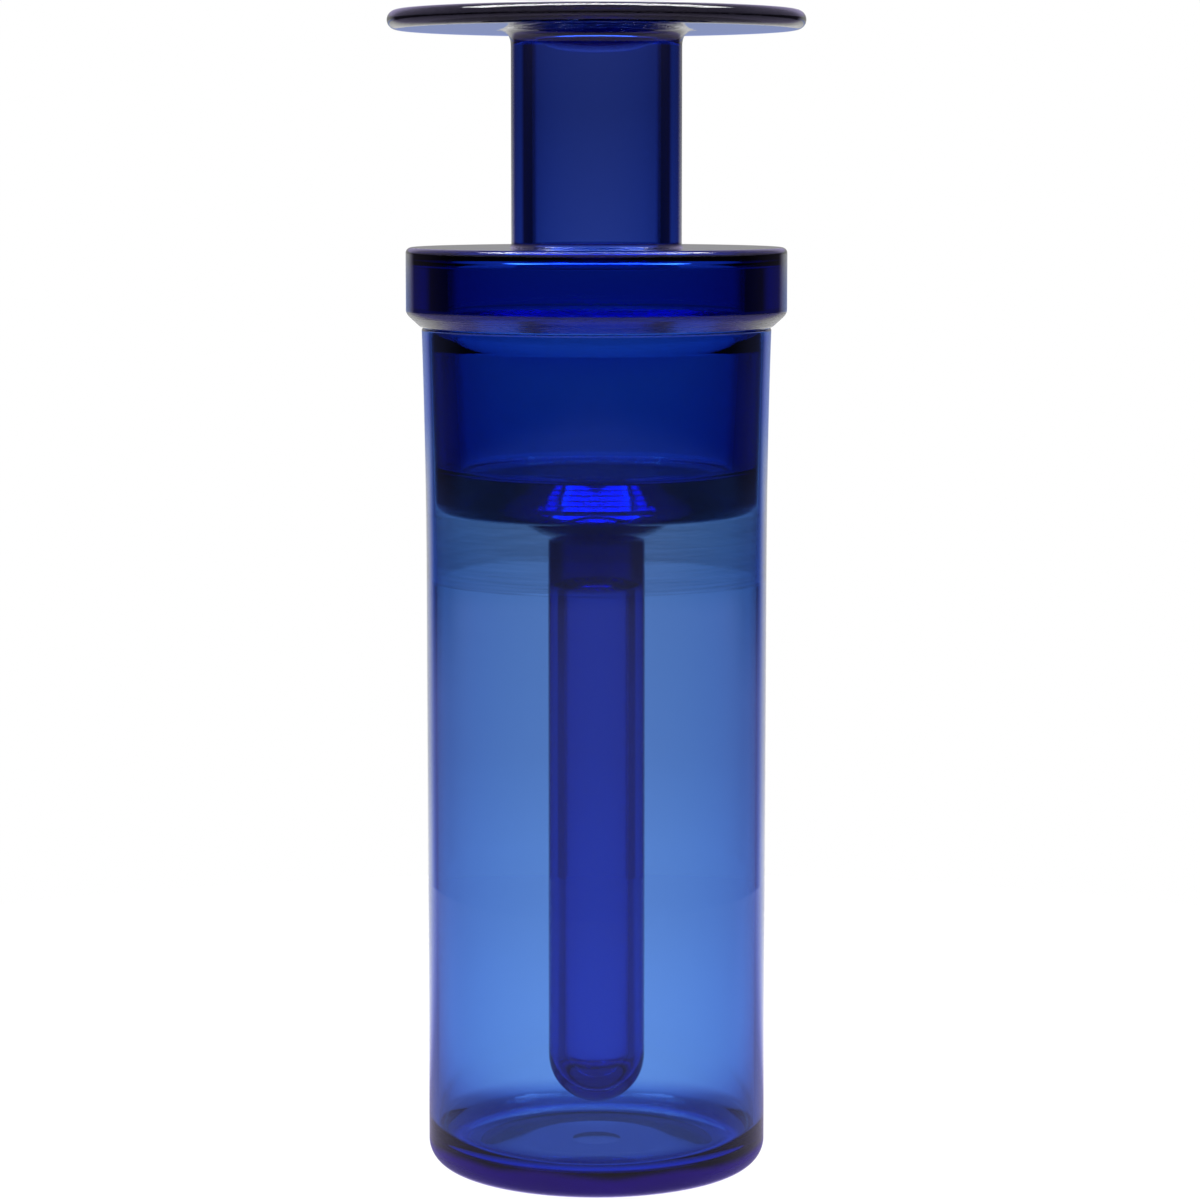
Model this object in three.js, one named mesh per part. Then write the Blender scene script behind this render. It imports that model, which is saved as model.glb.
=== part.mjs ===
// A tall cobalt-glass bottle with a ground-in stopper.
//
// The vessel is one blown cylinder. Its mouth is ground to a gentle taper, and the hollow stopper is
// ground to match, so that the two seal glass on glass. The stopper is hot-joined from five formed
// pieces: a hollow ground plug with a thick collar, an open tube as its neck, a round disc that
// closes the tube and is there to lift it by, and under the plug a solid root that carries a long
// hollow finger, which hangs down into the contents.
// The whole stopper lifts straight up out of the mouth.
//
// Millimetres, +Z up. The origin is the centre of the ring that the bottle stands on.

import * as THREE from 'three';

// Facets

const AROUND = 48; // facets round every turned piece
const PER_ARC = 4; // facets along each arc or curve of an outline

// Vessel

const BODY_RADIUS = 35; // outside of the straight wall
const BODY_WALL = 2;
const RIM_HEIGHT = 174;
const RIM_FLARE = 0.75; // the wall widens this much from the foot of the ground taper to the rim
const RIM_WALL = 1.7;
const RIM_ROUND = 0.5; // fire-polished edges of the mouth
const JOINT_LENGTH = 51.5; // length of the ground taper, down from the rim
const FLOOR_THICKNESS = 5;
const FLOOR_FILLET = 5;
const FOOT_ROUND = 5; // outer corner of the base
const RING_WIDTH = 11; // standing ring, from the hollow under the base out to the side
const RECESS_DEPTH = 2.6; // hollow under the base, inside the standing ring
const RECESS_SLOPE = 10; // width of the sloping edge of that hollow
const PONTIL_RADIUS = 5; // polished mark where the pontil rod was cracked off
const PONTIL_DEPTH = 0.4;

// Clearances

const GROUND_CLEARANCE = 0.2; // between the plug's cone and the mouth's, along the radius
const COLLAR_CLEARANCE = 0.3; // between the collar's underside and the rim
const FUSED_GAP = 0.3; // left at each hot joint, so that neighbouring solids stay separate
const BOSS_CLEARANCE = 0.3; // between the disc's boss and the neck's bore
const TIP_CLEARANCE = 7.7; // between the finger's tip and the vessel's floor

// Stopper: plug and collar

const PLUG_LENGTH = 38; // ground cone, down from the rim
const PLUG_ROUND = 3; // lower corner of the cone
const PLUG_FLOOR = 8.2;
const PLUG_TOP_WALL = 4.5; // under the collar
const PLUG_FOOT_WALL = 5.2;
const COLLAR_OVERHANG = 3.2; // beyond the rim
const COLLAR_HEIGHT = 16.1;
const COLLAR_LAND = 0.3; // flat of the collar's underside outside the rim
const COLLAR_CHAMFER = 2.7; // height of the bevel under the collar
const COLLAR_ROUND = 1.2;
const COLLAR_PLATE = 2; // thickness of the collar's top
const COLLAR_INSET = 3.4; // the hollow in the collar lies this far inside the cone's top
const HOLLOW_ROUND = 2;

// Stopper: neck

const NECK_RADIUS = 17.4;
const NECK_WALL = 4.3;
const NECK_LENGTH = 43.3; // between the collar and the disc
const NECK_FOOT_FLARE = 0.9;
const NECK_TOP_FLARE = 3.2;

// Stopper: disc

const DISC_RADIUS = 42.5;
const DISC_THICKNESS = 3.9;
const BOSS_DEPTH = 4.6; // rounded lump under the disc that closes the neck's bore

// Stopper: finger and its root

const FINGER_RADIUS = 10;
const FINGER_WALL = 3.4;
const FINGER_TIP_WALL = 4.5;
const ROOT_LENGTH = 13; // solid stretch between the plug and the hollow finger
const ROOT_SPREAD = 5.6; // the root's lens-shaped head is this much wider than the finger
const ROOT_HEAD_DEPTH = 6.8;

// Heights and radii that follow from them

const jointFoot = RIM_HEIGHT - JOINT_LENGTH;
const rimRadius = BODY_RADIUS + RIM_FLARE;
const bodyBore = BODY_RADIUS - BODY_WALL;
const rimBore = rimRadius - RIM_WALL;
const taper = (rimBore - bodyBore) / JOINT_LENGTH;
const boreAt = (z) => bodyBore + taper * (z - jointFoot);
const coneAt = (z) => boreAt(z) - GROUND_CLEARANCE;

const plugBottom = RIM_HEIGHT - PLUG_LENGTH;
const collarBottom = RIM_HEIGHT + COLLAR_CLEARANCE;
const collarTop = collarBottom + COLLAR_HEIGHT;
const collarRadius = rimRadius + COLLAR_OVERHANG;
const hollowTop = collarTop - COLLAR_PLATE;
const hollowBottom = plugBottom + PLUG_FLOOR;

const neckBottom = collarTop + FUSED_GAP;
const neckTop = neckBottom + NECK_LENGTH;
const neckBore = NECK_RADIUS - NECK_WALL;

const discBottom = neckTop + FUSED_GAP;
const discTop = discBottom + DISC_THICKNESS;

const rootTop = plugBottom - FUSED_GAP;
const rootBottom = plugBottom - ROOT_LENGTH;
const fingerTop = rootBottom - FUSED_GAP;
const fingerTip = FLOOR_THICKNESS + TIP_CLEARANCE;
const fingerBore = FINGER_RADIUS - FINGER_WALL;

// An outline in the plane of radius and height, walked with the material on its left. Straight
// stretches stay single edges, and rounds are quarter arcs or curves.
class Outline extends THREE.Path {
  // A round corner of the given size: in along the first direction, out along the second.
  corner(radius, height, size, inR, inZ, outR, outZ) {
    this.lineTo(radius - inR * size, height - inZ * size);
    const bend = 0.5523; // share of the radius that makes a cubic curve follow a quarter circle
    this.bezierCurveTo(
      radius - inR * size * (1 - bend), height - inZ * size * (1 - bend),
      radius + outR * size * (1 - bend), height + outZ * size * (1 - bend),
      radius + outR * size, height + outZ * size,
    );
    return this;
  }
}

// The solid that an outline makes when it is turned about the vertical axis.
function turned(name, outline, material) {
  const tooClose = 1e-6;
  const points = outline.getPoints(PER_ARC);
  const distinct = points.filter((p, i) => i === 0 || p.distanceTo(points[i - 1]) > tooClose);
  const geometry = new THREE.LatheGeometry(distinct, AROUND);
  geometry.rotateX(Math.PI / 2);
  const mesh = new THREE.Mesh(geometry, material);
  mesh.name = name;
  return mesh;
}

function glass(color, opacity) {
  return new THREE.MeshStandardMaterial({ color, opacity, transparent: true, roughness: 0.03, metalness: 0 });
}
const vesselGlass = glass(0x5a8ad8, 0.5);
const stopperGlass = glass(0x0c2c96, 0.7);

// Blown cylinder with a thick foot, a hollow underneath and a mouth ground to a taper.
function vessel() {
  const recessRadius = BODY_RADIUS - RING_WIDTH;
  const recessFlat = recessRadius - RECESS_SLOPE;
  const recessTop = RECESS_DEPTH + PONTIL_DEPTH;
  const o = new Outline();
  o.moveTo(0, recessTop);
  o.lineTo(PONTIL_RADIUS - PONTIL_DEPTH, recessTop);
  o.lineTo(PONTIL_RADIUS, RECESS_DEPTH);
  o.lineTo(recessFlat, RECESS_DEPTH);
  o.quadraticCurveTo(recessFlat + RECESS_SLOPE / 2, RECESS_DEPTH, recessRadius, 0);
  o.corner(BODY_RADIUS, 0, FOOT_ROUND, 1, 0, 0, 1);
  o.lineTo(BODY_RADIUS, jointFoot);
  o.quadraticCurveTo(BODY_RADIUS, jointFoot + JOINT_LENGTH / 2, rimRadius, RIM_HEIGHT - RIM_ROUND);
  o.lineTo(rimRadius - RIM_ROUND, RIM_HEIGHT);
  o.lineTo(rimBore + RIM_ROUND, RIM_HEIGHT);
  o.lineTo(boreAt(RIM_HEIGHT - RIM_ROUND), RIM_HEIGHT - RIM_ROUND);
  o.lineTo(bodyBore, jointFoot);
  o.corner(bodyBore, FLOOR_THICKNESS, FLOOR_FILLET, 0, -1, -1, 0);
  o.lineTo(0, FLOOR_THICKNESS);
  return turned('vessel', o, vesselGlass);
}

// Hollow ground cone under a thick collar. Its hollow opens upwards, into the neck's bore.
function stopperPlug() {
  const coneTop = coneAt(collarBottom);
  const hollowShoulder = collarBottom - COLLAR_CHAMFER;
  const o = new Outline();
  o.moveTo(0, plugBottom);
  o.corner(coneAt(plugBottom), plugBottom, PLUG_ROUND, 1, 0, 0, 1);
  o.lineTo(coneTop, collarBottom);
  o.lineTo(rimRadius + COLLAR_LAND, collarBottom);
  o.lineTo(collarRadius, collarBottom + COLLAR_CHAMFER);
  o.corner(collarRadius, collarTop, COLLAR_ROUND, 0, 1, -1, 0);
  o.lineTo(neckBore, collarTop);
  o.lineTo(neckBore, hollowTop);
  o.corner(coneTop - COLLAR_INSET, hollowTop, HOLLOW_ROUND, 1, 0, 0, -1);
  o.lineTo(coneTop - COLLAR_INSET, collarBottom);
  o.lineTo(coneAt(hollowShoulder) - PLUG_TOP_WALL, hollowShoulder);
  o.corner(coneAt(hollowBottom) - PLUG_FOOT_WALL, hollowBottom, HOLLOW_ROUND, 0, -1, -1, 0);
  o.lineTo(0, hollowBottom);
  return turned('stopper_plug', o, stopperGlass);
}

// Thick tube, open at both ends, that spreads a little at its foot and more at its top.
function stopperNeck() {
  const o = new Outline();
  o.moveTo(neckBore, neckBottom);
  o.lineTo(NECK_RADIUS + NECK_FOOT_FLARE, neckBottom);
  o.quadraticCurveTo(NECK_RADIUS, neckBottom, NECK_RADIUS, neckBottom + NECK_FOOT_FLARE);
  o.lineTo(NECK_RADIUS, neckTop - NECK_TOP_FLARE);
  o.quadraticCurveTo(NECK_RADIUS, neckTop, NECK_RADIUS + NECK_TOP_FLARE, neckTop);
  o.lineTo(neckBore, neckTop);
  o.closePath();
  return turned('stopper_neck', o, stopperGlass);
}

// Flat disc with a fully rounded edge, and the rounded boss that sinks into the neck's bore.
function discHandle() {
  const edge = DISC_THICKNESS / 2;
  const bossRadius = neckBore - BOSS_CLEARANCE;
  const o = new Outline();
  o.moveTo(0, discBottom - BOSS_DEPTH);
  o.quadraticCurveTo(bossRadius, discBottom - BOSS_DEPTH, bossRadius, discBottom);
  o.corner(DISC_RADIUS, discBottom, edge, 1, 0, 0, 1);
  o.corner(DISC_RADIUS, discTop, edge, 0, 1, -1, 0);
  o.lineTo(0, discTop);
  return turned('disc_handle', o, stopperGlass);
}

// Solid stem under the plug, spreading into a lens-shaped head where it is fused on.
function fingerRoot() {
  const headRadius = FINGER_RADIUS + ROOT_SPREAD;
  const headStart = Math.acos(FINGER_RADIUS / headRadius);
  const o = new Outline();
  o.moveTo(0, rootBottom);
  o.lineTo(FINGER_RADIUS, rootBottom);
  o.absellipse(0, rootTop, headRadius, ROOT_HEAD_DEPTH, -headStart, 0, false, 0);
  o.lineTo(0, rootTop);
  return turned('finger_root', o, stopperGlass);
}

// Thick tube with a round closed tip. Its bore is closed above by the root.
function dipFinger() {
  const tipCentre = fingerTip + FINGER_RADIUS;
  const boreEndCentre = fingerTip + FINGER_TIP_WALL + fingerBore;
  const o = new Outline();
  o.moveTo(0, fingerTip);
  o.absarc(0, tipCentre, FINGER_RADIUS, -Math.PI / 2, 0, false);
  o.lineTo(FINGER_RADIUS, fingerTop);
  o.lineTo(fingerBore, fingerTop);
  o.absarc(0, boreEndCentre, fingerBore, 0, -Math.PI / 2, true);
  return turned('dip_finger', o, stopperGlass);
}

const stopper = new THREE.Group();
stopper.add(stopperPlug(), stopperNeck(), discHandle(), fingerRoot(), dipFinger());

const bottle = new THREE.Group();
bottle.add(vessel(), stopper);

export default bottle;
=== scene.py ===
# %% [markdown]
# # A cobalt-blue glass bottle with a ground stopper
#
# The bottle is a hand-blown cylinder whose mouth is ground to a taper. Its stopper is ground to
# match, so glass seals on glass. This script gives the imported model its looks: it turns smooth
# glass walls from outlines, tints and roughens the glass, and lights it from behind, as glass is lit
# in a studio.
#
# Everything is in metres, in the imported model's own frame: the origin is the centre of the ring
# that the bottle stands on, and +Z is up.

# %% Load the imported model
import math

import bpy
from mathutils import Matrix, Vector


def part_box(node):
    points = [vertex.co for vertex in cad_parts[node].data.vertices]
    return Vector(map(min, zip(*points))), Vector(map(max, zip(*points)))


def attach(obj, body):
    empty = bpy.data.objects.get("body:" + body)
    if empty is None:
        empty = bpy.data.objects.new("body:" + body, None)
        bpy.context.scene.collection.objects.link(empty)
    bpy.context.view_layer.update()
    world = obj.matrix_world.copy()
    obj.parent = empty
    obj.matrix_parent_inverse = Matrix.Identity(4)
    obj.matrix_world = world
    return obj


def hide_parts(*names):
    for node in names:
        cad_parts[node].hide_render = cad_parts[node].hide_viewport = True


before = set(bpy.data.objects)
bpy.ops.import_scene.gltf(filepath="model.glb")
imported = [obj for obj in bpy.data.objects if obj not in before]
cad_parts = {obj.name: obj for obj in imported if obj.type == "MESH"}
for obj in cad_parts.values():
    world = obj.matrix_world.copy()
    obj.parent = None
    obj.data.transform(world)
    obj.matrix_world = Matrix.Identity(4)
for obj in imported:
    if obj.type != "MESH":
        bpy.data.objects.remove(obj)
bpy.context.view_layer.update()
MM = 0.001

# %% [markdown]
# ## Sizes
#
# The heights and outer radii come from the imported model's boxes, so the glass always fits the frame.
# Only what a box can't give is written here: walls, bores and the rounding of corners.

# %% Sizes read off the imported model


def span(node):
    """Radius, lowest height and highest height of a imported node, which is round about the Z axis."""
    low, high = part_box(node)
    return high.x, low.z, high.z


RIM_R, _, RIM_Z = span("vessel")
COLLAR_R, PLUG_Z, COLLAR_TOP = span("stopper_plug")
DISC_R, _, DISC_TOP = span("disc_handle")
HEAD_R, ROOT_Z, _ = span("finger_root")
FINGER_R, TIP_Z, _ = span("dip_finger")
heights = (RIM_Z, COLLAR_TOP, DISC_TOP)
print("rim, collar top and disc top, in mm:", *(round(height / MM, 1) for height in heights))

# %% Sizes of walls, bores and corners
BODY_R = RIM_R - 0.75 * MM  # the mouth flares a little
BODY_BORE = BODY_R - 2.0 * MM
RIM_BORE = RIM_R - 1.7 * MM
JOINT_Z = RIM_Z - 51.5 * MM  # foot of the ground taper
FLOOR_Z = 5.0 * MM
FLOOR_FILLET = 5.0 * MM
FOOT_ROUND = 5.0 * MM
RECESS_R = BODY_R - 11.0 * MM  # inner edge of the standing ring
RECESS_DEPTH = 2.6 * MM
RECESS_SLOPE = 10.0 * MM
PONTIL_R = 5.0 * MM

GROUND_GAP = 0.2 * MM  # between the plug's cone and the mouth
COLLAR_Z = RIM_Z + 0.3 * MM
COLLAR_LAND = 0.3 * MM
COLLAR_BEVEL = 2.7 * MM
COLLAR_ROUND = 1.2 * MM
PLATE = 2.0 * MM  # top of the collar
PLUG_ROUND = 3.0 * MM
PLUG_FLOOR = 8.2 * MM

NECK_R = 17.4 * MM
NECK_BORE = 13.1 * MM
DISC_THICK = 3.9 * MM
BOSS = 4.6 * MM  # rounded lump under the disc, inside the neck
FINGER_BORE = 6.6 * MM
TIP_WALL = 4.5 * MM


def mouth_at(z):
    """Radius of the ground mouth at a height."""
    return BODY_BORE + (RIM_BORE - BODY_BORE) * (z - JOINT_Z) / (RIM_Z - JOINT_Z)


def cone_at(z):
    """Radius of the plug's ground cone at a height."""
    return mouth_at(z) - GROUND_GAP


print("radii of the body and of the plug's end, in mm:", BODY_R / MM, cone_at(PLUG_Z) / MM)

# %% [markdown]
# ## The camera
#
# The bottle is seen from about three bottle-heights away, with the eye level with the stopper's
# neck. A long lens keeps the sides nearly parallel. The camera tilts down to the middle of the
# bottle and its lens isn't shifted up or down, so a lifted stopper stays in the frame too.

# %% The camera
EYE_DISTANCE = 768.5 * MM
EYE_HEIGHT = 206.2 * MM
SENSOR_WIDTH = 36  # mm, as is the lens
LENS = 112.45
TILT_DOWN = math.radians(6.555)
AXIS_OFFSET = 0.0029  # share of the frame by which the bottle stands left of the middle

camera = bpy.data.objects.new("camera", bpy.data.cameras.new("camera"))
bpy.context.scene.collection.objects.link(camera)
camera.location = (0, -EYE_DISTANCE, EYE_HEIGHT)
camera.rotation_euler = (math.pi / 2 - TILT_DOWN, 0, 0)
camera.data.sensor_width = SENSOR_WIDTH
camera.data.lens = LENS
camera.data.shift_x = AXIS_OFFSET
camera.data.clip_start = 10 * MM
bpy.context.scene.camera = camera
print(f"camera {EYE_DISTANCE} m away, {EYE_HEIGHT} m up, lens {LENS} mm")

# %% [markdown]
# ## Outlines
#
# A blown or turned piece is its outline spun about the axis, so drawing one good outline settles
# the whole shape. The outline is walked with the glass on its left. Straight stretches get a point
# every few millimetres and one close to each end: smooth shading blends the tilt of neighbouring
# faces, and the close points keep that blend out of the flat walls, where it would bend the view
# through the glass.

# %% A helper that walks an outline
STRAIGHT_STEP = 3.0 * MM
EDGE_STEP = 0.12 * MM  # how near to its ends a straight stretch gets an extra point
ROUND_STEPS = 12
SAME_POINT = 1e-7  # metres: points closer together than this are one point


class Outline:
    """Points of radius and height, walked with the glass on the left."""

    def __init__(self, radius, height):
        self.points = [Vector((radius, height))]

    def line(self, radius, height):
        start = self.points[-1]
        end = Vector((radius, height))
        length = (end - start).length
        if length > 4 * EDGE_STEP:
            count = max(1, math.ceil(length / STRAIGHT_STEP))
            near = EDGE_STEP / length
            shares = [near, *(i / count for i in range(1, count)), 1 - near]
            self.points += [start.lerp(end, share) for share in shares]
        if length > SAME_POINT:
            self.points.append(end)
        return self

    def curve(self, control, end, steps=ROUND_STEPS):
        """A quadratic curve from the last point, which leans towards a control point."""
        start, control, end = self.points[-1], Vector(control), Vector(end)
        for i in range(1, steps + 1):
            t = i / steps
            self.points.append(start * (1 - t) ** 2 + control * (2 * t * (1 - t)) + end * t ** 2)
        return self

    def arc(self, centre_r, centre_z, size_r, size_z, start, end, steps=ROUND_STEPS):
        """Part of an ellipse, between two angles in degrees. Angle 0 points away from the axis."""
        for i in range(steps + 1):
            a = math.radians(start + (end - start) * i / steps)
            point = Vector((centre_r + size_r * math.cos(a), centre_z + size_z * math.sin(a)))
            if (point - self.points[-1]).length > SAME_POINT:
                self.points.append(point)
        return self

    def round(self, radius, height, size, arrive, leave, steps=ROUND_STEPS):
        """A rounded corner: arrives and leaves along the given unit directions."""
        corner, arrive, leave = Vector((radius, height)), Vector(arrive), Vector(leave)
        centre = corner - arrive * size + leave * size
        self.line(*(corner - arrive * size))
        for i in range(1, steps + 1):
            a = math.pi / 2 * i / steps
            self.points.append(centre + arrive * (size * math.sin(a)) - leave * (size * math.cos(a)))
        return self


OUT, IN, UP, DOWN = (1, 0), (-1, 0), (0, 1), (0, -1)
print("outline helper ready")

# %% [markdown]
# ## Turning an outline
#
# Blender can spin an outline with its Screw modifier or with bmesh. Geometry Nodes do it here,
# because the same tree can add what hand work adds: a wall that isn't perfectly true. A grid is
# bent into the turned shape. Each column of the grid reads one point of the outline, and each row
# is one step round the axis. A slow noise then moves the wall in and out by a few hundredths of a
# millimetre.

# %% A helper for node trees


class Wire:
    """An output socket that can be calculated with. Each operator adds a Math node."""

    def __init__(self, tree, socket):
        self.tree = tree
        self.socket = socket

    def math(self, operation, *values):
        inputs = dict(enumerate((self, *values)))
        return self.tree.add("ShaderNodeMath", {"operation": operation}, inputs)[0]

    def __add__(self, other):
        return self.math("ADD", other)

    def __radd__(self, other):
        return self.math("ADD", other)

    def __mul__(self, other):
        return self.math("MULTIPLY", other)

    def __rmul__(self, other):
        return self.math("MULTIPLY", other)

    def __truediv__(self, other):
        return self.math("DIVIDE", other)

    def __sub__(self, other):
        return self.math("SUBTRACT", other)

    def __rsub__(self, other):
        return self.math("MULTIPLY_ADD", -1.0, other)


class Tree:
    """A node tree, and one method that adds any node to it."""

    def __init__(self, node_tree):
        self.nodes = node_tree.nodes
        self.links = node_tree.links

    def add(self, node_type, settings=None, inputs=None):
        """Adds a node, makes its settings, fills its sockets, and returns its outputs as wires."""
        node = self.nodes.new(node_type)
        for name, value in (settings or {}).items():
            setattr(node, name, value)
        for key, value in (inputs or {}).items():
            if isinstance(value, Wire):
                self.links.new(value.socket, node.inputs[key])
            else:
                node.inputs[key].default_value = value
        return [Wire(self, socket) for socket in node.outputs]

    def combine(self, x, y, z):
        return self.add("ShaderNodeCombineXYZ", None, {"X": x, "Y": y, "Z": z})[0]

    def split(self, vector):
        return self.add("ShaderNodeSeparateXYZ", None, {"Vector": vector})


print("node helper ready")

# %% The tree that turns an outline
WANDER_AROUND = 30.0  # how fast the wall's wandering changes round the bottle and up it, per metre
WANDER_UP = 14.0
FULL_WANDER_R = 8 * MM  # nearer the axis than this, the wall wanders less and less
ROUNDING = 1e-4  # of a column: more than a rounding error, and less than one step
MERGE_WITHIN = 1e-6


def turning_tree():
    """Geometry Nodes: an outline in the XZ plane becomes a closed surface about the Z axis."""
    group = bpy.data.node_groups.new("turning", "GeometryNodeTree")
    group.interface.new_socket("Outline", in_out="INPUT", socket_type="NodeSocketGeometry")
    group.interface.new_socket("Steps Around", in_out="INPUT", socket_type="NodeSocketInt")
    group.interface.new_socket("Waviness", in_out="INPUT", socket_type="NodeSocketFloat")
    group.interface.new_socket("Seed", in_out="INPUT", socket_type="NodeSocketFloat")
    group.interface.new_socket("Material", in_out="INPUT", socket_type="NodeSocketMaterial")
    group.interface.new_socket("Surface", in_out="OUTPUT", socket_type="NodeSocketGeometry")
    t = Tree(group)
    outline, steps, waviness, seed, material, _ = t.add("NodeGroupInput")

    rows = steps + 1.0
    counted = {"component": "MESH"}
    columns = t.add("GeometryNodeAttributeDomainSize", counted, {"Geometry": outline})[0]
    grid = t.add("GeometryNodeMeshGrid", None, {"Vertices X": columns, "Vertices Y": rows})[0]
    index = t.add("GeometryNodeInputIndex")[0]
    column = (index / rows + ROUNDING).math("FLOOR")
    angle = (index - column * rows) / steps * -math.tau

    place = t.add("GeometryNodeInputPosition")[0]
    sampler = {"data_type": "FLOAT_VECTOR", "domain": "POINT"}
    sampled = {"Geometry": outline, "Value": place, "Index": column}
    point = t.add("GeometryNodeSampleIndex", sampler, sampled)[0]
    radius, _, height = t.split(point)

    # Where the wall wanders: slowly round the bottle, and more slowly up it.
    cosine, sine = angle.math("COSINE"), angle.math("SINE")
    across = radius * WANDER_AROUND
    where = t.combine(across * cosine, across * sine, height * WANDER_UP)
    noise_inputs = {"Vector": where, "W": seed, "Scale": 1.0, "Detail": 1.0}
    slow = t.add("ShaderNodeTexNoise", {"noise_dimensions": "4D"}, noise_inputs)[0]
    away_from_axis = (radius / FULL_WANDER_R).math("MINIMUM", 1.0)
    wavy = radius + (slow - 0.5) * waviness * away_from_axis

    spot = t.combine(wavy * cosine, wavy * sine, height)
    bent = t.add("GeometryNodeSetPosition", None, {"Geometry": grid, "Position": spot})[0]
    merged = {"Geometry": bent, "Distance": MERGE_WITHIN}
    sealed = t.add("GeometryNodeMergeByDistance", None, merged)[0]
    smooth = t.add("GeometryNodeSetShadeSmooth", None, {"Geometry": sealed})[0]
    real = t.add("GeometryNodeRealizeInstances", None, {"Geometry": smooth})[0]
    tinted = t.add("GeometryNodeSetMaterial", None, {"Geometry": real, "Material": material})[0]
    t.add("NodeGroupOutput", None, {"Surface": tinted})
    return group


TURNING = turning_tree()
print("turning tree has", len(TURNING.nodes), "nodes")

# %% Helpers that run a tree and keep its result as a plain mesh
STEPS_AROUND = 192
HOLLOW_STEPS = 144


def set_inputs(modifier, **values):
    """Sets a Geometry Nodes modifier's inputs by name, through each socket's identifier."""
    for item in modifier.node_group.interface.items_tree:
        name = item.name.replace(" ", "_").lower()
        if item.in_out == "INPUT" and name in values:
            modifier[item.identifier] = values[name]


def grown(mesh, tree, **values):
    """The plain mesh that a Geometry Nodes tree makes from another mesh."""
    holder = bpy.data.objects.new("holder", mesh)
    bpy.context.scene.collection.objects.link(holder)
    modifier = holder.modifiers.new("tree", "NODES")
    modifier.node_group = tree
    set_inputs(modifier, **values)
    bpy.context.view_layer.update()
    evaluated = holder.evaluated_get(bpy.context.evaluated_depsgraph_get())
    result = bpy.data.meshes.new_from_object(evaluated)
    bpy.data.objects.remove(holder)
    return result


def turned(outline, material, waviness, seed, steps_around=STEPS_AROUND):
    """One closed surface of glass, from its outline."""
    mesh = bpy.data.meshes.new("outline")
    corners = [(point.x, 0, point.y) for point in outline.points]
    mesh.from_pydata(corners, [(i, i + 1) for i in range(len(corners) - 1)], [])
    values = {"waviness": waviness, "seed": seed, "material": material}
    return grown(mesh, TURNING, steps_around=steps_around, **values)


def joined(name, meshes):
    """One object from several meshes, such as a piece's outside and the hollows inside it."""
    parts = [bpy.data.objects.new(name, mesh) for mesh in meshes]
    for part in parts:
        bpy.context.scene.collection.objects.link(part)
    with bpy.context.temp_override(active_object=parts[0], selected_editable_objects=parts):
        bpy.ops.object.join()
    piece = parts[0]
    piece.data.calc_loop_triangles()
    print(name, len(piece.data.loop_triangles), "triangles")
    return piece


print("an outline is turned in", STEPS_AROUND, "steps, and a hollow in", HOLLOW_STEPS)

# %% [markdown]
# ## Cobalt glass
#
# Glass gets its colour in its depth, not on its surface: a thin wall is sky blue, two walls are
# deeper, and a solid lump is nearly black. A Volume Absorption shader does exactly that, so the wall
# thicknesses make nearly all the blues of the bottle. A tinted surface colour would give the thin
# and the thick glass the same blue.
#
# How strongly the glass absorbs was set together with the light further down, which is dimmer than
# white behind the glass. The values suit that light only: in a plain white studio the same glass
# looks much paler, and would have to absorb more.
#
# The surface differs in three places. Ground parts are matt, with fine rings from the grinding
# wheel. The stopper's drawn tubes are a little more violet than its plug, and as they are one body
# of glass with it, it is their surface that holds back some green. On the foot, a patchy violet-blue
# matt layer is mixed into the glass. It is painted light: it stands in for light from the floor that
# comes out through the foot glass. The masks for all three are worked out from height and distance
# to the axis.

# %% How strongly the glass absorbs, in red, green and blue, per metre
VESSEL_ABSORBS = (600.0, 360.0, 112.0)
STOPPER_ABSORBS = (400.0, 250.0, 80.0)
GLASS_IOR = 1.5
POLISHED = 0.003  # roughness


def tint_and_density(absorbs):
    """The colour and density of a Volume Absorption shader, from what the glass absorbs."""
    density = max(absorbs)
    return (*(1 - share / density for share in absorbs), 1.0), density


print("vessel", tint_and_density(VESSEL_ABSORBS), "stopper", tint_and_density(STOPPER_ABSORBS))

# %% Helpers for masks
GENERATED, OBJECT = 0, 3  # outputs of the Texture Coordinate node


def emptied(owner):
    """The node tree of a material or a world, with nothing in it."""
    owner.use_nodes = True
    owner.node_tree.nodes.clear()
    return Tree(owner.node_tree)


def located(t, output):
    """A point, its three coordinates, and its distance from the Z axis."""
    place = t.add("ShaderNodeTexCoord")[output]
    x, y, z = t.split(place)
    return place, x, y, z, (x * x + y * y).math("SQRT")


def step_between(t, value, low, high):
    """0 below one value, 1 above another, and a smooth change between them."""
    names = {"Value": value, "From Min": low, "From Max": high}
    return t.add("ShaderNodeMapRange", {"interpolation_type": "SMOOTHSTEP"}, names)[0]


def noise(t, place, scale, detail):
    inputs = {"Vector": place, "Scale": scale, "Detail": detail}
    return t.add("ShaderNodeTexNoise", None, inputs)[0]


def uneven(pattern, contrast):
    """A factor that follows a noise. It averages 1, because the noise averages a half."""
    return pattern * contrast + (1 - contrast / 2)


print("mask helpers ready")

# %% Ground bands
RINGS_AROUND = 40.0  # how fast the grinding rings change round the joint and up it, per metre
RINGS_UP = 2300.0
RING_FRAY = 2.4 * MM  # how far the rings and the patches move the lower edge of a band
PATCH_FRAY = 1.5 * MM
RING_CONTRAST = 1.6
PATCHES = 55.0  # scales of two noises, per metre
GRIT = 2600.0
GRIT_SHARE = 0.2  # of the height of the bumps
PIT_DEPTH = 0.2 * MM
SOFT_BELOW, SOFT_ABOVE, SOFT_BESIDE = 0.3 * MM, 0.2 * MM, 0.1 * MM  # how gradually a band ends

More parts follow.
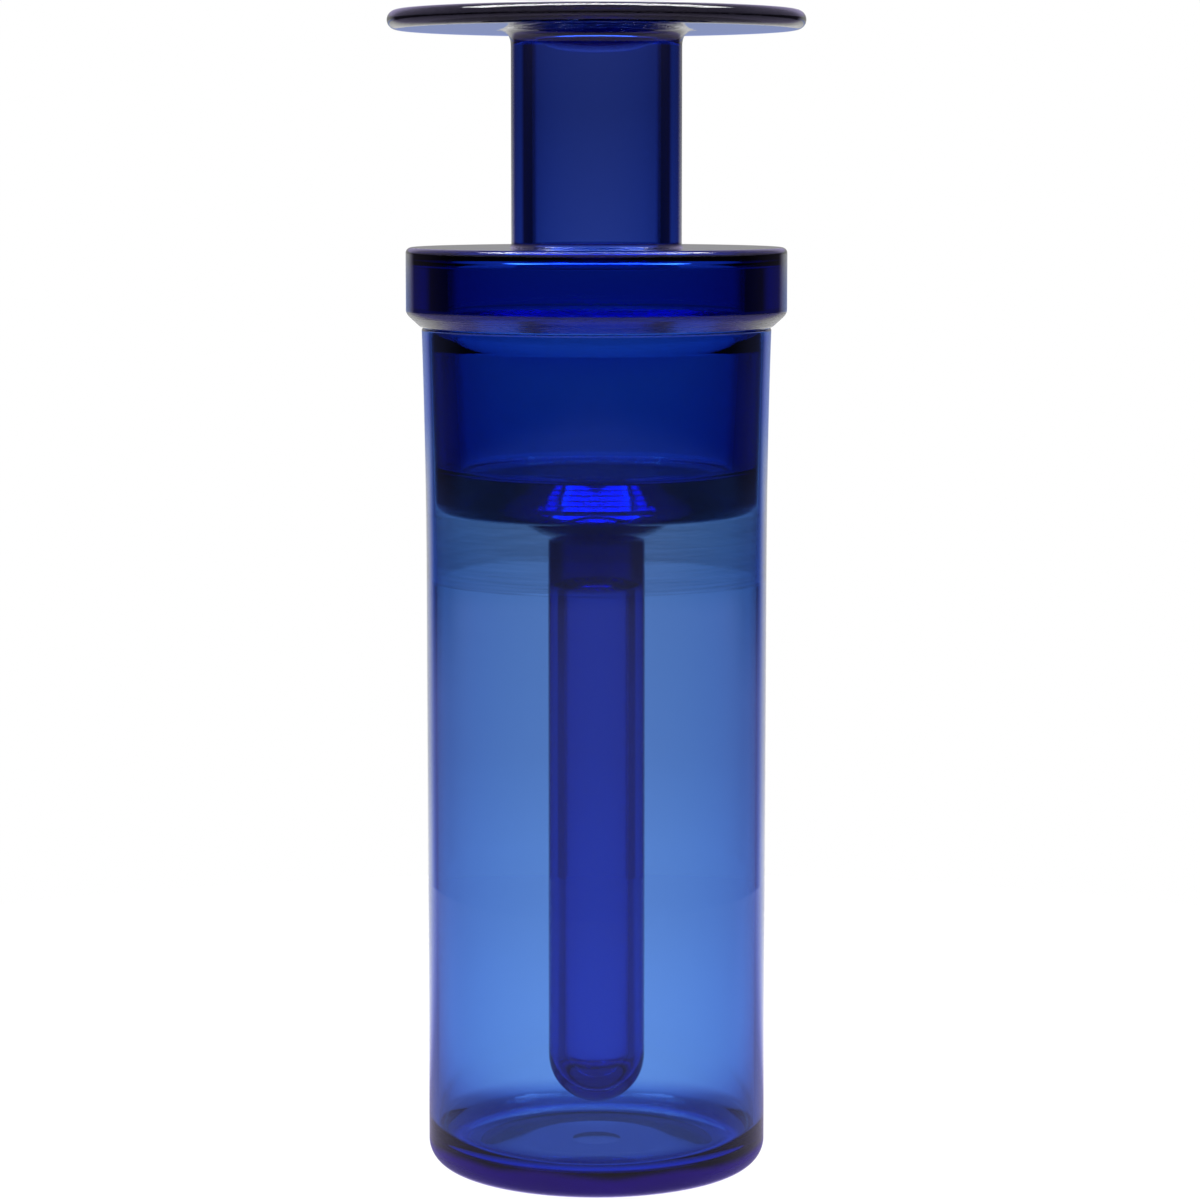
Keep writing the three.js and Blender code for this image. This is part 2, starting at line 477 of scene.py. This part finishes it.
# Where the plug sits, the two ground faces touch and turn clear. Below it the mouth stays matt.
GROUND_MOUTH = {
    "low": JOINT_Z, "high": PLUG_Z + 0.5 * MM, "nearest": 0.0, "farthest": RIM_BORE + 0.3 * MM,
    "roughness": 0.06, "loss": 0.40,
}
COLLAR_UNDERSIDE = {
    "low": COLLAR_Z, "high": COLLAR_Z + COLLAR_BEVEL + 0.6 * MM,
    "nearest": RIM_R - 0.5 * MM, "farthest": COLLAR_R + MM, "roughness": 0.26, "loss": 0.3,
}
# Not ground, but made in the same way: the walls of the bubble are a little rough.
BUBBLE_WALLS = {
    "low": PLUG_Z + 0.8 * MM, "high": PLUG_Z + PLUG_FLOOR - 0.5 * MM,
    "nearest": 0.0, "farthest": 23.0 * MM, "roughness": 0.07, "loss": 0.0,
}


def inside_band(t, frayed, z, radius, band):
    """1 between a band's two heights and its two distances from the axis, and 0 elsewhere."""
    low, high, nearest, farthest = (band[key] for key in ("low", "high", "nearest", "farthest"))
    inside = step_between(t, frayed, low - SOFT_BELOW, low + SOFT_BELOW)
    inside = inside * (1 - step_between(t, z, high - SOFT_ABOVE, high + SOFT_ABOVE))
    inside = inside * step_between(t, radius, nearest - SOFT_BESIDE, nearest)
    return inside * (1 - step_between(t, radius, farthest, farthest + SOFT_BESIDE))


print("the ground mouth is matt for", round((GROUND_MOUTH["high"] - JOINT_Z) / MM, 1), "mm")

# %% Painted light on the foot
FOOT_LIGHT_COLOUR = (0.10, 0.03, 0.75, 1.0)  # painted light: a violet-blue matt colour standing in for floor light that comes out of the foot
FOOT_LIGHT_FRAY = 3 * MM  # how far the patches move its upper edge
FOOT_LIGHT_FADE_DOWN, FOOT_LIGHT_FADE_UP, FOOT_LIGHT_FADE_IN = 1.5 * MM, 0.5 * MM, 1.5 * MM
FOOT_LIGHT_CONTRAST = 0.5
# Painted light on the foot: its upper edge, its inner edge, and how much of the glass it replaces.
FOOT_LIGHT_BAND = {"top": FOOT_ROUND + 0.8 * MM, "inner": RECESS_R + 2 * MM, "share": 0.32}


def painted_foot_light(t, z, radius, patchy, foot):
    """How much painted light the foot gets at a point, and the opaque matt shader that paints it."""
    top, inner = foot["top"], foot["inner"]
    frayed = z + (patchy - 0.5) * FOOT_LIGHT_FRAY
    lit_band = 1 - step_between(t, frayed, top - FOOT_LIGHT_FADE_DOWN, top + FOOT_LIGHT_FADE_UP)
    lit_band = lit_band * step_between(t, radius, inner, inner + FOOT_LIGHT_FADE_IN)
    # The painted light: an opaque violet-blue matt surface in place of part of the glass.
    inputs = {"Base Color": FOOT_LIGHT_COLOUR, "Roughness": 0.7, "Specular IOR Level": 0.2}
    shader = t.add("ShaderNodeBsdfPrincipled", None, inputs)[0]
    return lit_band * uneven(patchy, FOOT_LIGHT_CONTRAST) * foot["share"], shader


# The painted light on the foot reaches up to this height.
print("the foot is scuffed up to", round(FOOT_LIGHT_BAND["top"] / MM, 1), "mm")

# %% The glass material
VIOLET = 0.8  # share of green that the stopper's drawn tubes pass, compared with its blown plug
FINGER_FADE, NECK_FADE = 0.6 * MM, 1.5 * MM


def glass_material(name, absorbs, matt_bands, tubes=None, foot=None):
    """Blue glass. A matt band's loss is the share of light that its pits keep back. The tubes are
    given as the height where the finger ends and the height where the neck starts."""
    material = bpy.data.materials.new(name)
    t = emptied(material)
    place, x, y, z, radius = located(t, OBJECT)

    # Grinding rings: long round the joint, fine up it. They also fray the lower edge of each band.
    along = t.combine(x * RINGS_AROUND, y * RINGS_AROUND, z * RINGS_UP)
    rings = noise(t, along, scale=1.0, detail=3.0)
    patchy = noise(t, place, scale=PATCHES, detail=1.0)
    frayed = z + (rings - 0.5) * RING_FRAY + (patchy - 0.5) * PATCH_FRAY
    matt = lost = 0.0
    for band in matt_bands:
        inside = inside_band(t, frayed, z, radius, band)
        matt = matt + inside * band["roughness"]
        lost = lost + inside * band["loss"]
    grit = noise(t, place, scale=GRIT, detail=2.0)
    height = matt * (rings * (1 - GRIT_SHARE) + grit * GRIT_SHARE)
    bump_inputs = {"Strength": 0.5, "Distance": PIT_DEPTH, "Height": height}
    bump = t.add("ShaderNodeBump", None, bump_inputs)[0]

    kept = green = 1 - lost * uneven(rings, RING_CONTRAST)
    if tubes:
        finger_top, neck_foot = tubes
        below = 1 - step_between(t, z, finger_top - FINGER_FADE, finger_top)
        above = step_between(t, z, neck_foot, neck_foot + NECK_FADE)
        green = kept * (1 - (below + above) * (1 - VIOLET))
    surface_inputs = {
        "Base Color": t.add("ShaderNodeCombineColor", None, {0: kept, 1: green, 2: kept})[0],
        "Roughness": POLISHED + matt * uneven(rings, 1.0),
        "IOR": GLASS_IOR,
        "Transmission Weight": 1.0,
        "Normal": bump,
    }
    surface = t.add("ShaderNodeBsdfPrincipled", None, surface_inputs)[0]
    # On the foot, an opaque violet-blue matt layer is mixed in: painted light from the floor.
    if foot:
        share, foot_light_shader = painted_foot_light(t, z, radius, patchy, foot)
        surface = t.add("ShaderNodeMixShader", None, {0: share, 1: surface, 2: foot_light_shader})[0]
    tint, density = tint_and_density(absorbs)
    depth = t.add("ShaderNodeVolumeAbsorption", None, {"Color": tint, "Density": density})[0]
    t.add("ShaderNodeOutputMaterial", None, {"Surface": surface, "Volume": depth})
    return material


# The vessel's foot gets the painted light.
VESSEL_GLASS = glass_material("vessel_glass", VESSEL_ABSORBS, [GROUND_MOUTH], foot=FOOT_LIGHT_BAND)
STOPPER_GLASS = glass_material(
    "stopper_glass", STOPPER_ABSORBS, [COLLAR_UNDERSIDE, BUBBLE_WALLS], tubes=(PLUG_Z, COLLAR_TOP)
)
print("materials", VESSEL_GLASS.name, STOPPER_GLASS.name)

# %% [markdown]
# ## The vessel
#
# The vessel is one bubble of glass, blown into a cylinder, with a thick foot and a hollow underneath
# so that it stands on a ring. The pontil rod that held it left a small polished dimple. The outline
# starts under the base, goes round the outside and over the fire-polished rim, and comes down the
# ground mouth and the inside wall to the floor.

# %% Turn the vessel
VESSEL_WAVINESS = 0.12 * MM
VESSEL_SEED = 3.0


def vessel_outline():
    """From under the base, up the outside, over the rim and down to the floor inside."""
    rim_round = 0.5 * MM
    dimple = 0.4 * MM
    ring_edge = 0.8 * MM
    o = Outline(0, RECESS_DEPTH + dimple)
    o.curve((PONTIL_R * 0.8, RECESS_DEPTH + dimple), (PONTIL_R, RECESS_DEPTH))
    o.line(RECESS_R - RECESS_SLOPE, RECESS_DEPTH)
    o.curve((RECESS_R - RECESS_SLOPE / 2, RECESS_DEPTH), (RECESS_R, 0.1 * MM), steps=20)
    o.curve((RECESS_R + ring_edge / 4, 0), (RECESS_R + ring_edge, 0))
    o.round(BODY_R, 0, FOOT_ROUND, OUT, UP)
    o.line(BODY_R, JOINT_Z)
    o.curve((BODY_R, (JOINT_Z + RIM_Z) / 2), (RIM_R, RIM_Z - rim_round), steps=24)
    o.curve((RIM_R, RIM_Z), (RIM_R - rim_round, RIM_Z))
    o.line(RIM_BORE + rim_round, RIM_Z)
    o.curve((RIM_BORE, RIM_Z), (mouth_at(RIM_Z - rim_round), RIM_Z - rim_round))
    o.line(BODY_BORE, JOINT_Z)
    o.round(BODY_BORE, FLOOR_Z, FLOOR_FILLET, DOWN, IN)
    o.line(0, FLOOR_Z)
    return o


vessel_shell = turned(vessel_outline(), VESSEL_GLASS, VESSEL_WAVINESS, VESSEL_SEED)
vessel = joined("bottle_vessel", [vessel_shell])
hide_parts("vessel")
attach(vessel, "bottle")

# %% [markdown]
# ## The stopper
#
# The stopper is made from five gathers of glass, but they are joined while they are soft, and light
# passes through the joins as if they weren't there. So its outside is one outline, from the finger's
# tip up to the disc. Two hollows are left inside it: the finger's bore, and the blown plug, which
# opens up into the neck. A bubble of air is caught under the plug's floor, where the finger was
# joined on. It is made as a stack of steps, and its sloping steps mirror the light from above. Each
# hollow is an outline of its own, which faces into the air that it holds.

# %% The stopper's outside


def stopper_outline():
    """From the finger's tip up to the middle of the disc's top."""
    fillet = 0.8 * MM
    edge = DISC_THICK / 2
    disc_z = DISC_TOP - DISC_THICK
    head_start = math.degrees(math.acos(FINGER_R / HEAD_R))
    head_end = 6  # degrees below level, where the lens-shaped head turns into the plug's end
    head_depth = 6.8 * MM
    foot_flare = 0.9 * MM
    top_flare = 3.2 * MM
    o = Outline(0, TIP_Z)
    o.arc(0, TIP_Z + FINGER_R, FINGER_R, FINGER_R, -90, 0, steps=24)
    o.line(FINGER_R, PLUG_Z - head_depth * math.sin(math.radians(head_start)) - fillet)
    o.arc(0, PLUG_Z, HEAD_R, head_depth, -head_start, -head_end)
    o.line(HEAD_R + fillet, PLUG_Z)
    o.round(cone_at(PLUG_Z), PLUG_Z, PLUG_ROUND, OUT, UP)
    o.line(cone_at(COLLAR_Z), COLLAR_Z)
    o.line(RIM_R + COLLAR_LAND, COLLAR_Z)
    o.line(COLLAR_R - fillet, COLLAR_Z + COLLAR_BEVEL - fillet)
    o.curve((COLLAR_R, COLLAR_Z + COLLAR_BEVEL), (COLLAR_R, COLLAR_Z + COLLAR_BEVEL + fillet))
    o.round(COLLAR_R, COLLAR_TOP, COLLAR_ROUND, UP, IN)
    o.line(NECK_R + foot_flare, COLLAR_TOP)
    o.curve((NECK_R, COLLAR_TOP), (NECK_R, COLLAR_TOP + foot_flare))
    o.line(NECK_R, disc_z - top_flare)
    o.curve((NECK_R, disc_z), (NECK_R + top_flare, disc_z))
    o.line(DISC_R - edge, disc_z)
    o.arc(DISC_R - edge, disc_z + edge, edge, edge, -90, 90, steps=24)
    o.line(0, DISC_TOP)
    return o


print("the stopper's outline has", len(stopper_outline().points), "points")

# %% The hollows inside it


def finger_hollow():
    """The bore of the finger, from its domed top down to its round end."""
    bore_end = TIP_Z + TIP_WALL + FINGER_BORE
    dome = 3.0 * MM
    o = Outline(0, ROOT_Z)
    o.arc(0, ROOT_Z - dome, FINGER_BORE, dome, 90, 0)
    o.line(FINGER_BORE, bore_end)
    o.arc(0, bore_end, FINGER_BORE, FINGER_BORE, 0, -90)
    return o


def plug_hollow():
    """The inside of the neck and the plug, from under the disc down to the plug's floor."""
    disc_z = DISC_TOP - DISC_THICK
    corner = 0.9 * MM
    lip = 0.8 * MM
    roof = COLLAR_TOP - PLATE
    floor = PLUG_Z + PLUG_FLOOR
    shoulder = COLLAR_Z - COLLAR_BEVEL
    round_size = 2.0 * MM
    collar_wall, shoulder_wall, floor_wall = 3.4 * MM, 4.5 * MM, 5.2 * MM
    collar_bore = cone_at(COLLAR_Z) - collar_wall
    floor_bore = cone_at(floor) - floor_wall
    o = Outline(0, disc_z - BOSS)
    o.curve((NECK_BORE - corner, disc_z - BOSS), (NECK_BORE - corner, disc_z - corner))
    o.curve((NECK_BORE, disc_z - corner), (NECK_BORE, disc_z - 2 * corner))
    o.line(NECK_BORE, roof + lip)
    o.curve((NECK_BORE, roof), (NECK_BORE + lip, roof))
    o.round(collar_bore, roof, round_size, OUT, DOWN)
    o.line(collar_bore, COLLAR_Z)
    o.curve((collar_bore, shoulder), (cone_at(shoulder) - shoulder_wall, shoulder - round_size))
    o.line(floor_bore, floor + round_size)
    o.curve((floor_bore, floor), (floor_bore - round_size, floor))
    o.line(0, floor)
    return o


def trapped_bubble():
    """Air caught under the plug's floor. Its steps are steep enough to mirror light from above."""
    slope = math.radians(45)
    drop = 1.0 * MM
    run = drop / math.tan(slope)
    treads = [0.5 * MM, 0.3 * MM, 0.6 * MM, 0.3 * MM, 0.5 * MM, 0.4 * MM]
    lip = 0.4 * MM
    roof = 0.8 * MM  # glass between the bubble and the hollow above it
    radius = 12.5 * MM
    height = PLUG_Z + PLUG_FLOOR - roof
    o = Outline(0, height)
    for tread in treads:
        radius += tread
        o.line(radius, height)
        radius += run
        height -= drop
        o.line(radius, height)
    o.curve((radius + lip / 2, height - lip / 2), (radius, height - lip))
    o.line(0, height - lip)
    return o


HOLLOWS = [finger_hollow, plug_hollow, trapped_bubble]
print("points in the hollows' outlines:", *(len(hollow().points) for hollow in HOLLOWS))

# %% Turn the stopper
STOPPER_WAVINESS = 0.08 * MM
HOLLOW_WAVINESS = 0.12 * MM
STOPPER_SEED = 8.0
HOLLOW_SEED = 20.0  # the first hollow's, and each next one's is 1 more

stopper_shells = [turned(stopper_outline(), STOPPER_GLASS, STOPPER_WAVINESS, STOPPER_SEED)]
for number, hollow in enumerate(HOLLOWS):
    seed = HOLLOW_SEED + number
    stopper_shells.append(turned(hollow(), STOPPER_GLASS, HOLLOW_WAVINESS, seed, HOLLOW_STEPS))
stopper = joined("ground_stopper", stopper_shells)
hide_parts("stopper_plug", "stopper_neck", "disc_handle", "finger_root", "dip_finger")
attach(stopper, "stopper")

# %% [markdown]
# ## Stage and light
#
# Clear glass has almost no look of its own: it shows what is behind and beside it. Here a bright
# backdrop stands behind the bottle, and the studio beside and in front of it is dark, which draws
# the dark edges of the thick glass. A pale floor glows like a light table, most of all in a ring
# under the bottle's foot. Above, one long softbox makes the white lines on the rims.
#
# The light is graded, with its direction for the studio and with its place for the floor. Only the
# glass shows that: the camera sees the backdrop and the floor as plain white.

# %% Helpers for light that changes with its direction


def grey_ramp(t, position, stops):
    """Brightness along a ramp, from pairs of position and brightness."""
    shade = t.add("ShaderNodeValToRGB", None, {"Fac": position})[0]
    ramp = t.nodes[-1].color_ramp
    while len(ramp.elements) < len(stops):
        ramp.elements.new(0.5)
    for element, (place, grey) in zip(ramp.elements, stops):
        element.position = place
        element.color = (grey, grey, grey, 1.0)
    return t.split(shade)[0]


def white_to_the_camera(t, level, colour):
    """Light of that brightness and colour, which the camera itself sees as plain white."""
    seen = t.add("ShaderNodeLightPath")[0]
    shares = [level * share * (1 - seen) + seen for share in colour]
    return t.add("ShaderNodeCombineColor", None, dict(enumerate(shares)))[0]


print("light helpers ready")

# %% The floor's material
# Each pair of numbers is where a smooth change begins and where it is complete.
LAVENDER = (0.92, 0.82, 1.3)  # tint of the soft fill light, and of the floor that isn't behind
FLOOR_BEHIND = 0.90
FLOOR_BESIDE = 0.35
FLOOR_NEAR = 0.22  # how much more it glows behind and close to the bottle
FLOOR_UNDER_RING = 1.4
BACK_STARTS = (0.62, 0.88)  # cosine of the angle from straight behind
NEAR_ENDS = (0.13, 0.31)  # metres from the axis
RING_STARTS = (RECESS_R + 2 * MM, RECESS_R + 5 * MM)
RING_ENDS = (BODY_R - 5 * MM, BODY_R - MM)
SMALL_R = 0.01  # added to a distance that is divided by, so that it is never zero


def floor_material():
    """A floor that glows, more behind the bottle and most in a ring under its foot."""
    material = bpy.data.materials.new("pale_floor")
    t = emptied(material)
    _, _, y, _, radius = located(t, OBJECT)
    back = step_between(t, y / (radius + SMALL_R), *BACK_STARTS)
    near = 1 - step_between(t, radius, *NEAR_ENDS)
    level = back * (near * FLOOR_NEAR + (FLOOR_BEHIND - FLOOR_BESIDE)) + FLOOR_BESIDE
    under_ring = step_between(t, radius, *RING_STARTS) * (1 - step_between(t, radius, *RING_ENDS))
    level = level + under_ring * (FLOOR_UNDER_RING - FLOOR_BESIDE)
    tint = [back * (1 - share) + share for share in LAVENDER]
    inputs = {
        "Base Color": (0.05, 0.05, 0.05, 1.0),
        "Roughness": 0.9,
        "Specular IOR Level": 0.0,
        "Emission Color": white_to_the_camera(t, level, tint),
        "Emission Strength": 1.0,
    }
    surface = t.add("ShaderNodeBsdfPrincipled", None, inputs)[0]
    t.add("ShaderNodeOutputMaterial", None, {"Surface": surface})
    return material


print("floor glows", FLOOR_BEHIND, "behind and", FLOOR_BESIDE, "beside")

# %% The floor
FLOOR_RADIUS = 0.32
FLOOR_SIDES = 96
FLOOR_DROP = 0.1 * MM  # keeps it clear of the standing ring

turns = [math.tau * i / FLOOR_SIDES for i in range(FLOOR_SIDES)]
edge = [(FLOOR_RADIUS * math.cos(a), FLOOR_RADIUS * math.sin(a), -FLOOR_DROP) for a in turns]
floor_mesh = bpy.data.meshes.new("floor")
floor_mesh.from_pydata(edge, [], [range(FLOOR_SIDES)])
floor_mesh.materials.append(floor_material())
floor = bpy.data.objects.new("floor", floor_mesh)
bpy.context.scene.collection.objects.link(floor)
print("floor", 2 * FLOOR_RADIUS, "m across")

# %% The studio around it
# Each ramp runs over the sine of the angle upwards, from -0.5 to 0.5. Beside and in front of the
# bottle the studio is dark only between about -0.11 and 0.06. It is brighter below and above that,
# so the glass also has colour when it is seen from above.
BACKDROP = [
    (0.0, 0.88), (0.25, 0.88), (0.32, 0.85), (0.345, 0.70), (0.39, 0.63), (0.44, 0.58),
    (0.466, 0.48), (0.486, 0.41), (0.515, 0.28), (0.56, 0.27), (0.66, 0.5), (1.0, 0.6),
]
BESIDE = [
    (0.0, 0.5), (0.25, 0.32), (0.36, 0.24), (0.392, 0.04), (0.56, 0.03), (0.64, 0.25), (1.0, 0.45),
]
IN_FRONT = [
    (0.0, 0.6), (0.25, 0.36), (0.384, 0.33), (0.392, 0.015),
    (0.475, 0.01), (0.52, 0.05), (0.6, 0.3), (1.0, 0.45),
]
BRIGHTEST = 1.2
DUSK = (0.5, 0.6, 1.0)  # tint of a low band of the backdrop, which the disc's underside mirrors
# Degrees from straight behind.
BACKDROP_STARTS = (38, 22)
FRONT_ENDS = (84, 55)
# Sines of the angle upwards, as on the ramps.
FILL_STARTS = (0.06, 0.16)  # where the fill light's tint begins above the backdrop
DUSK_STARTS = (-0.09, -0.07)
DUSK_ENDS = (-0.035, -0.018)
SMALL_SINE = 1e-4  # added to a length that is divided by, so that it is never zero


def cosines(angles):
    return [math.cos(math.radians(angle)) for angle in angles]


def studio_world():
    """Light from all round, set by its height and by how far behind or in front it comes from."""
    world = bpy.data.worlds.new("studio")
    t = emptied(world)
    _, _, y, z, across = located(t, GENERATED)
    backwards = y / (across + SMALL_SINE)
    position = z + 0.5
    behind = step_between(t, backwards, *cosines(BACKDROP_STARTS))
    in_front = 1 - step_between(t, backwards, *cosines(FRONT_ENDS))
    around = grey_ramp(t, position, IN_FRONT) * in_front
    around = around + grey_ramp(t, position, BESIDE) * (1 - in_front)
    level = grey_ramp(t, position, BACKDROP) * behind + around * (1 - behind)
    fill = 1 - behind * (1 - step_between(t, z, *FILL_STARTS))
    dusk = behind * step_between(t, z, *DUSK_STARTS) * (1 - step_between(t, z, *DUSK_ENDS))
    pairs = zip(LAVENDER, DUSK)
    colour = [fill * (lavender - 1) + dusk * (blue - 1) + 1 for lavender, blue in pairs]
    light = white_to_the_camera(t, level * BRIGHTEST, colour)
    sky = t.add("ShaderNodeBackground", None, {"Color": light, "Strength": 1.0})[0]
    t.add("ShaderNodeOutputWorld", None, {"Surface": sky})
    return world


bpy.context.scene.world = studio_world()
print("studio world has", len(bpy.context.scene.world.node_tree.nodes), "nodes")

# %% The softbox
SOFTBOX_WIDTH = 1.4
SOFTBOX_DEPTH = 0.35
SOFTBOX_WATTS = 23.0

softbox = bpy.data.objects.new("softbox", bpy.data.lights.new("softbox", "AREA"))
softbox.data.shape = "RECTANGLE"
softbox.data.size = SOFTBOX_WIDTH
softbox.data.size_y = SOFTBOX_DEPTH
softbox.data.energy = SOFTBOX_WATTS
softbox.location = (0, 0.05, 1.0)
bpy.context.scene.collection.objects.link(softbox)
print("softbox at", tuple(softbox.location))

# %% [markdown]
# ## Rendering
#
# A ray through the stopper and both walls of the vessel crosses a dozen surfaces of glass, and more
# inside the thick parts, so the paths are let run long. The plain view transform keeps the white
# backdrop white.

# %% Settings for glass
GLASS_BOUNCES = 32
MIRROR_BOUNCES = 12

scene = bpy.context.scene
scene.view_settings.view_transform = "Standard"
scene.cycles.max_bounces = GLASS_BOUNCES
scene.cycles.transmission_bounces = GLASS_BOUNCES
scene.cycles.glossy_bounces = MIRROR_BOUNCES
scene.cycles.volume_bounces = 0
